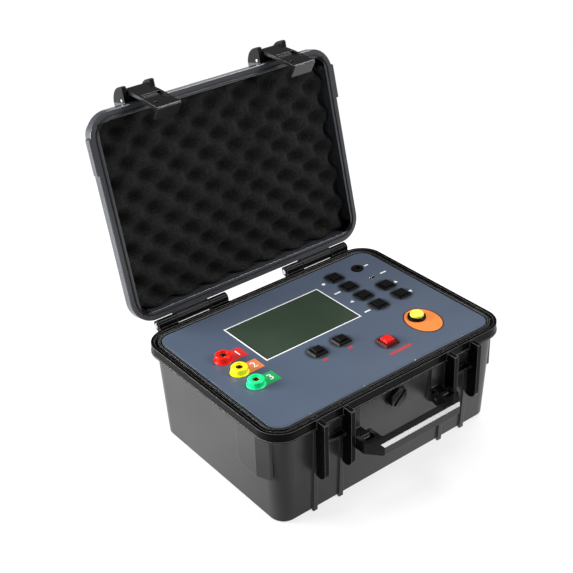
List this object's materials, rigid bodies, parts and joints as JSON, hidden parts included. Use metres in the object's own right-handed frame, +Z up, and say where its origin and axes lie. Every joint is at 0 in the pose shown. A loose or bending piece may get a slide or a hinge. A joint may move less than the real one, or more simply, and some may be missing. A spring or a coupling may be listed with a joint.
{
  "type": "earth resistance tester",
  "caption": "Earth resistance tester in a carrying case: hinged foam-lined lid, display panel with keys, test button, three sockets, latches and a folding handle.",
  "frame": {"origin": "centre of the flat underside of the base, below the middle of the rim", "axes": "+X to the right along the front, +Y from the front with the handle to the hinges, +Z up"},
  "size_m": [0.2812, 0.3203, 0.3211],
  "materials": {
    "case_plastic": "moulded, fine satin",
    "latch_plastic": "moulded, satin",
    "steel": "plain",
    "rubber": "matt",
    "foam": "open-cell egg-crate foam",
    "panel_plastic": "satin",
    "panel_film": "satin printed film",
    "window_glass": "clear",
    "black_plastic": "satin",
    "display": "dark green display",
    "red_plastic": "glossy",
    "yellow_plastic": "glossy",
    "green_plastic": "glossy",
    "brass": "turned, plated",
    "dark_red_plastic": "satin",
    "circuit_board": "green solder resist",
    "core_iron": "laminated",
    "winding": "taped winding",
    "relay_plastic": "moulded",
    "cell_jacket": "glossy",
    "key_plastic": "satin",
    "lime_plastic": "glossy"
  },
  "bodies": {
    "case_base": {"base_shell": "case_plastic", "hinge_pin_left": "steel", "hinge_pin_right": "steel", "handle_pins": "steel", "valve_body": "latch_plastic", "valve_seal": "rubber", "valve_nut": "latch_plastic", "front_panel": "panel_plastic", "panel_film": "panel_film", "panel_screws": "steel", "lcd_window": "window_glass", "lcd_frame": "black_plastic", "lcd_glass": "display", "terminal_red": "red_plastic", "terminal_yellow": "yellow_plastic", "terminal_green": "green_plastic", "terminal_sockets": "brass", "terminal_nuts": "steel", "key_frames": "black_plastic", "power_frame": "dark_red_plastic", "test_ring": "black_plastic", "dc_jack": "black_plastic", "usb_port": "steel", "main_board": "circuit_board", "board_screws": "steel", "key_switches": "black_plastic", "measuring_board": "circuit_board", "measuring_screws": "steel", "transformer_core": "core_iron", "transformer_coil": "winding", "relays": "relay_plastic", "battery_tray": "black_plastic", "battery_cells": "cell_jacket", "battery_strap": "steel"},
    "lid": {"lid_shell": "case_plastic", "lid_seal": "rubber", "lid_foam": "foam", "latch_pin_left": "steel", "latch_pin_right": "steel"},
    "latch_left": {"latch_left": "latch_plastic"},
    "latch_right": {"latch_right": "latch_plastic"},
    "handle": {"handle": "latch_plastic"},
    "valve_knob": {"valve_knob": "latch_plastic"},
    "key_light": {"key_light": "key_plastic"},
    "key_memory": {"key_memory": "key_plastic"},
    "key_return": {"key_return": "key_plastic"},
    "key_set": {"key_set": "key_plastic"},
    "key_up": {"key_up": "key_plastic"},
    "key_down": {"key_down": "key_plastic"},
    "key_mode_left": {"key_mode_left": "key_plastic"},
    "key_mode_right": {"key_mode_right": "key_plastic"},
    "power_key": {"power_key": "red_plastic"},
    "test_button": {"test_button": "lime_plastic"}
  },
  "joints": [
    {"name": "lid_hinge", "type": "hinge", "parent": "case_base", "child": "lid", "pos_m": [0, 0.107, 0.1069], "axis": [1, 0, 0], "range_deg": [0, 104]},
    {"name": "latch_left_hinge", "type": "hinge", "parent": "lid", "child": "latch_left", "pos_m": [-0.0764, 0.16959, 0.30793], "axis": [1, 0, 0], "range_deg": [-104, 0]},
    {"name": "latch_right_hinge", "type": "hinge", "parent": "lid", "child": "latch_right", "pos_m": [0.0764, 0.16959, 0.30793], "axis": [1, 0, 0], "range_deg": [-104, 0]},
    {"name": "handle_hinge", "type": "hinge", "parent": "case_base", "child": "handle", "pos_m": [0, -0.1088, 0.0667], "axis": [1, 0, 0], "range_deg": [-12, 86]},
    {"name": "valve_turn", "type": "hinge", "parent": "case_base", "child": "valve_knob", "pos_m": [0, -0.1008, 0.0836], "axis": [0, -1, 0], "range_deg": [0, 270]},
    {"name": "key_light_press", "type": "slide", "parent": "case_base", "child": "key_light", "axis": [0, 0, -1], "range_m": [0, 0.0012], "stiffness_N_per_m": 800, "springref_m": -0.0006},
    {"name": "key_memory_press", "type": "slide", "parent": "case_base", "child": "key_memory", "axis": [0, 0, -1], "range_m": [0, 0.0012], "stiffness_N_per_m": 800, "springref_m": -0.0006},
    {"name": "key_return_press", "type": "slide", "parent": "case_base", "child": "key_return", "axis": [0, 0, -1], "range_m": [0, 0.0012], "stiffness_N_per_m": 800, "springref_m": -0.0006},
    {"name": "key_set_press", "type": "slide", "parent": "case_base", "child": "key_set", "axis": [0, 0, -1], "range_m": [0, 0.0012], "stiffness_N_per_m": 800, "springref_m": -0.0006},
    {"name": "key_up_press", "type": "slide", "parent": "case_base", "child": "key_up", "axis": [0, 0, -1], "range_m": [0, 0.0012], "stiffness_N_per_m": 800, "springref_m": -0.0006},
    {"name": "key_down_press", "type": "slide", "parent": "case_base", "child": "key_down", "axis": [0, 0, -1], "range_m": [0, 0.0012], "stiffness_N_per_m": 800, "springref_m": -0.0006},
    {"name": "key_mode_left_press", "type": "slide", "parent": "case_base", "child": "key_mode_left", "axis": [0, 0, -1], "range_m": [0, 0.0012], "stiffness_N_per_m": 800, "springref_m": -0.0006},
    {"name": "key_mode_right_press", "type": "slide", "parent": "case_base", "child": "key_mode_right", "axis": [0, 0, -1], "range_m": [0, 0.0012], "stiffness_N_per_m": 800, "springref_m": -0.0006},
    {"name": "power_key_press", "type": "slide", "parent": "case_base", "child": "power_key", "axis": [0, 0, -1], "range_m": [0, 0.0012], "stiffness_N_per_m": 800, "springref_m": -0.0006},
    {"name": "test_button_press", "type": "slide", "parent": "case_base", "child": "test_button", "axis": [0, 0, -1], "range_m": [0, 0.002], "stiffness_N_per_m": 800, "springref_m": -0.0008}
  ],
  "couplings": [
    {"joint": "latch_left_hinge", "follows": "lid_hinge", "ratio": -1},
    {"joint": "latch_right_hinge", "follows": "lid_hinge", "ratio": -1}
  ]
}
